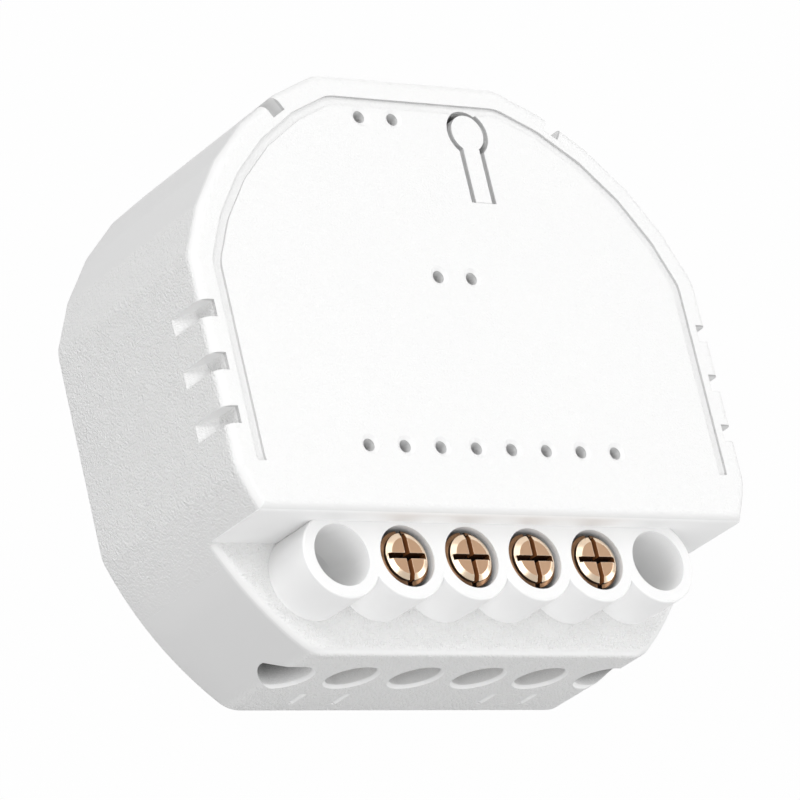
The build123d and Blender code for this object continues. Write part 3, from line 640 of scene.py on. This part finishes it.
def start_tree(name, inputs):
    """Makes an empty Geometry Nodes tree, and gives it with the sockets of its two end nodes."""
    tree = bpy.data.node_groups.new(name, "GeometryNodeTree")
    for label, kind in {"Geometry": "Geometry", **inputs, "Material": "Material"}.items():
        tree.interface.new_socket(label, in_out="INPUT", socket_type="NodeSocket" + kind)
    tree.interface.new_socket("Geometry", in_out="OUTPUT", socket_type="NodeSocketGeometry")
    return tree, tree.nodes.new("NodeGroupInput").outputs, tree.nodes.new("NodeGroupOutput").inputs


def end_tree(tree, given, result, geometry):
    """Makes the copies real and gives them their material."""
    real = add_node(tree, "GeometryNodeRealizeInstances", {"Geometry": geometry}).outputs[0]
    inputs = {"Geometry": real, "Material": given["Material"]}
    feed(tree, result["Geometry"], add_node(tree, "GeometryNodeSetMaterial", inputs).outputs[0])


def join_two(tree, first, second):
    """Joins two geometries, and gives the result."""
    joined = tree.nodes.new("GeometryNodeJoinGeometry")
    feed(tree, joined.inputs[0], first)
    feed(tree, joined.inputs[0], second)
    return joined.outputs[0]


def make_row_tree():
    """Repeats one piece in a row, and again on the other side where Turned Row is on, all moved to Place."""
    tree, given, result = start_tree(
        "row_of_pieces",
        {"Count": "Int", "First": "Vector", "Step": "Vector", "Turned Row": "Bool", "Place": "Vector"},
    )
    line = {"Count": given["Count"], "Start Location": given["First"], "Offset": given["Step"]}
    row = add_node(tree, "GeometryNodeMeshLine", line)
    spots = {"Points": row.outputs[0], "Instance": given["Geometry"]}
    copies = add_node(tree, "GeometryNodeInstanceOnPoints", spots).outputs[0]
    half_turn = {"Geometry": copies, "Rotation": (0, 0, pi)}
    turned = add_node(tree, "GeometryNodeTransform", half_turn)
    choice = {"Switch": given["Turned Row"], "True": turned.outputs[0]}
    wanted = add_node(tree, "GeometryNodeSwitch", choice, input_type="GEOMETRY")
    both = join_two(tree, wanted.outputs[0], copies)
    placed = add_node(tree, "GeometryNodeTransform", {"Geometry": both, "Translation": given["Place"]})
    end_tree(tree, given, result, placed.outputs[0])
    return tree


def add_cone(tree, bottom, top, depth):
    """Adds a cone with these two radii, and gives its mesh."""
    sizes = {"Vertices": solder_sides, "Radius Bottom": bottom, "Radius Top": top, "Depth": depth}
    return add_node(tree, "GeometryNodeMeshCone", sizes).outputs[0]


def make_joint_tree():
    """Puts a solder joint on every point of a mesh: a cone that spreads upwards, with a wider foot."""
    tree, given, result = start_tree(
        "solder_on_points",
        {"Lead Radius": "Float", "Foot Radius": "Float", "Height": "Float"},
    )
    waist = add_math(tree, "MULTIPLY", given["Lead Radius"], solder_waist)
    upper = add_math(tree, "MULTIPLY", given["Height"], solder_foot)
    lower = add_math(tree, "SUBTRACT", given["Height"], upper)
    sleeve = add_cone(tree, given["Lead Radius"], waist, lower)
    foot = add_cone(tree, waist, given["Foot Radius"], upper)
    lift = add_node(tree, "ShaderNodeCombineXYZ", {"Z": lower}).outputs[0]
    lifted = add_node(tree, "GeometryNodeTransform", {"Geometry": foot, "Translation": lift})
    joint = join_two(tree, lifted.outputs[0], sleeve)
    spots = {"Points": given["Geometry"], "Instance": joint}
    copies = add_node(tree, "GeometryNodeInstanceOnPoints", spots)
    end_tree(tree, given, result, copies.outputs[0])
    return tree


row_tree = make_row_tree()
joint_tree = make_joint_tree()


def add_piece(name, mesh, slot, body="case"):
    """Adds a finished mesh as a piece of the module."""
    piece = bpy.data.objects.new(name, mesh)
    bpy.context.scene.collection.objects.link(piece)
    if not mesh.materials:
        mesh.materials.append(materials[slot])
    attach(piece, body)


def repeat_piece(name, mesh, tree, slot, values):
    """Runs a Geometry Nodes tree on a mesh, and adds the plain mesh that comes out."""
    source = bpy.data.objects.new(name + "_source", mesh)
    bpy.context.scene.collection.objects.link(source)
    modifier = source.modifiers.new(name, "NODES")
    modifier.node_group = tree
    values = {**values, "Material": materials[slot]}
    for socket in tree.interface.items_tree:
        if socket.in_out == "INPUT" and socket.name in values:
            modifier[socket.identifier] = values[socket.name]
    graph = bpy.context.evaluated_depsgraph_get()
    made = bpy.data.meshes.new_from_object(source.evaluated_get(graph), depsgraph=graph)
    bpy.data.objects.remove(source)
    add_piece(name, made, slot)


def ring_mesh(radius, wire):
    """One turn of round wire about the upright axis."""
    mesh = bpy.data.meshes.new("turn")
    shape = bmesh.new()
    loops = []
    for i in range(turn_sides):
        around = 2 * pi * i / turn_sides
        loop = []
        for j in range(wire_sides):
            across = 2 * pi * j / wire_sides
            reach = radius + wire / 2 * cos(across)
            loop.append(shape.verts.new((reach * cos(around), reach * sin(around), wire / 2 * sin(across))))
        loops.append(loop)
    for loop, following in zip(loops, loops[1:] + loops[:1]):
        for j in range(wire_sides):
            k = (j + 1) % wire_sides
            shape.faces.new((loop[j], following[j], following[k], loop[k]))
    for face in shape.faces:
        face.smooth = True
    shape.to_mesh(mesh)
    shape.free()
    return mesh


def lead_mesh(height):
    """One chip lead, bent like a gull's wing: it leaves at this height and comes down to the board."""
    mesh = bpy.data.meshes.new("lead")
    shape = bmesh.new()
    thick = lead_thickness
    line = [
        (-thick, height),
        (lead_reach * lead_shoulder, height),
        (lead_reach * lead_knee, thick),
        (lead_reach, thick),
    ]
    outline = line + [(y, z - thick) for y, z in reversed(line)]
    near = [shape.verts.new((-lead_width / 2, y, z)) for y, z in outline]
    far = [shape.verts.new((lead_width / 2, y, z)) for y, z in outline]
    last = len(outline) - 1
    for i in range(last // 2):
        for side in (near, far):
            shape.faces.new((side[i], side[i + 1], side[last - i - 1], side[last - i]))
    for i in range(last + 1):
        j = (i + 1) % (last + 1)
        shape.faces.new((near[i], near[j], far[j], far[i]))
    bmesh.ops.recalc_face_normals(shape, faces=shape.faces)
    shape.to_mesh(mesh)
    shape.free()
    return mesh


def make_coil_turns(name, node, radius, wire, clear_ends):
    """Winds wire round an upright round node, leaving its two ends clear."""
    low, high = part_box(node)
    middle = (low + high) / 2
    foot = max(low.z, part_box("main_board")[1].z) + clear_ends
    values = {
        "Count": int((high.z - clear_ends - foot) / wire),
        "First": (0, 0, 0),
        "Step": (0, 0, wire),
        "Turned Row": False,
        "Place": (middle.x, middle.y, foot + wire / 2),
    }
    repeat_piece(name, ring_mesh(radius, wire), row_tree, "coil_copper", values)


def make_chip_leads(node, count, pitch):
    """Two rows of leads along the long sides of a chip on the main board."""
    low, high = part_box(node)
    middle = (low + high) / 2
    board_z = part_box("main_board")[1].z
    values = {
        "Count": count,
        "First": (-(count - 1) * pitch / 2, (high.y - low.y) / 2, 0),
        "Step": (pitch, 0, 0),
        "Turned Row": True,
        "Place": (middle.x, middle.y, board_z),
    }
    repeat_piece(node + "_leads", lead_mesh((high.z - board_z) / 2), row_tree, "tinned_steel", values)


def make_solder_joints():
    """Solder under the main board, round the leads of the boxes, blocks and cans."""
    spots = []
    for node in lead_pairs_along:
        low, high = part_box(node)
        spots += [(x, (low.y + high.y) / 2) for x in (low.x + block_lead_inset, high.x - block_lead_inset)]
    for node in lead_pairs_across:
        low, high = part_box(node)
        quarter = (high.y - low.y) / 4
        spots += [((low.x + high.x) / 2, y) for y in (low.y + quarter, high.y - quarter)]
    foot_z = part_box("main_board")[0].z - solder_height
    mesh = bpy.data.meshes.new("lead_spots")
    mesh.from_pydata([(x, y, foot_z) for x, y in spots], [], [])
    values = {"Lead Radius": lead_radius, "Foot Radius": solder_radius, "Height": solder_height}
    repeat_piece("solder_joints", mesh, joint_tree, "tinned_steel", values)


def make_button_root():
    """The thin plastic that joins the button's tongue to the face."""
    press = next(joint for joint in frame["record"]["behaviour"]["joints"] if joint["name"] == "button_press")
    x, y, z = press["pos_m"]
    half = tongue_width / 2
    corners = [
        (x + a * half, y + b * root_gap, z + c * root_land)
        for c in (-1, 0)
        for b in (0, 1)
        for a in (-1, 1)
    ]
    mesh = bpy.data.meshes.new("button_root")
    sides = [(0, 2, 3, 1), (4, 5, 7, 6), (0, 1, 5, 4), (2, 6, 7, 3), (0, 4, 6, 2), (1, 3, 7, 5)]
    mesh.from_pydata(corners, [], sides)
    add_piece("button_root", mesh, "case_white")


make_coil_turns("inductor_turns", "line_inductor", radius=3.22 * MM, wire=0.36 * MM, clear_ends=0.9 * MM)
make_coil_turns("relay_coil_turns", "relay_coil", radius=3.0 * MM, wire=0.22 * MM, clear_ends=0.7 * MM)
make_chip_leads("bridge_rectifier", count=2, pitch=2.6 * MM)
make_chip_leads("optocoupler", count=2, pitch=2.54 * MM)
make_chip_leads("power_controller", count=4, pitch=1.27 * MM)
make_solder_joints()
make_button_root()


def make_floor():
    """White floor that shows as plain white, with the soft shadow of the module left on it."""
    half = floor_size / 2
    mesh = bpy.data.meshes.new("floor")
    corners = [(-half, -half), (half, -half), (half, half), (-half, half)]
    mesh.from_pydata([(x, y, cad_box[0][2] - floor_drop) for x, y in corners], [], [(0, 1, 2, 3)])
    floor = bpy.data.objects.new("floor", mesh)
    bpy.context.scene.collection.objects.link(floor)

    material, tree = start_material("floor_white")
    matt = add_node(tree, "ShaderNodeBsdfDiffuse", {"Color": (*floor_colour, 1)})
    glow = add_node(tree, "ShaderNodeEmission", {"Color": (1, 1, 1, 1), "Strength": 1})
    ray = add_node(tree, "ShaderNodeLightPath").outputs
    seen = add_math(tree, "MAXIMUM", ray["Is Camera Ray"], ray["Is Glossy Ray"])
    seen = add_math(tree, "MAXIMUM", seen, ray["Is Transmission Ray"])
    mixed = add_node(tree, "ShaderNodeMixShader")
    shares = (add_math(tree, "MULTIPLY", seen, floor_glow), matt.outputs[0], glow.outputs[0])
    for socket, source in zip(mixed.inputs, shares):
        feed(tree, socket, source)
    add_node(tree, "ShaderNodeOutputMaterial", {"Surface": mixed.outputs[0]})
    mesh.materials.append(material)


def make_lamp(name, place, size, power):
    """Square soft lamp that points at the module."""
    lamp = bpy.data.lights.new(name, "AREA")
    lamp.size = size
    lamp.energy = power
    holder = bpy.data.objects.new(name, lamp)
    holder.location = place
    holder.rotation_euler = (-Vector(place)).to_track_quat("-Z", "Y").to_euler()
    bpy.context.scene.collection.objects.link(holder)


def make_world():
    """Dim white surroundings, lighter overhead."""
    world = bpy.data.worlds.new("studio")
    world.use_nodes = True
    tree = world.node_tree
    tree.nodes.clear()
    direction = add_node(tree, "ShaderNodeTexCoord").outputs["Generated"]
    height = add_node(tree, "ShaderNodeSeparateXYZ", {"Vector": direction}).outputs["Z"]
    limits = {"Value": height, "To Min": world_low, "To Max": world_high}
    strength = add_node(tree, "ShaderNodeMapRange", limits).outputs["Result"]
    light = add_node(tree, "ShaderNodeBackground", {"Color": (1, 1, 1, 1), "Strength": strength})
    add_node(tree, "ShaderNodeOutputWorld", {"Surface": light.outputs[0]})
    bpy.context.scene.world = world


def make_camera():
    """Camera of the photograph."""
    camera_data = bpy.data.cameras.new("camera")
    camera_data.lens = camera_lens
    camera_data.sensor_width = sensor_width
    camera = bpy.data.objects.new("camera", camera_data)
    turn = camera_forward.to_track_quat("-Z", "Y").to_matrix()
    turn = turn @ Matrix.Rotation(camera_roll, 3, "Z")
    camera.matrix_world = Matrix.LocRotScale(camera_place, turn, None)
    bpy.context.scene.collection.objects.link(camera)
    bpy.context.scene.camera = camera


make_floor()
for name, (place, size, power) in lamps.items():
    make_lamp(name, place, size, power)
make_world()
make_camera()
bpy.context.scene.view_settings.view_transform = "Standard"
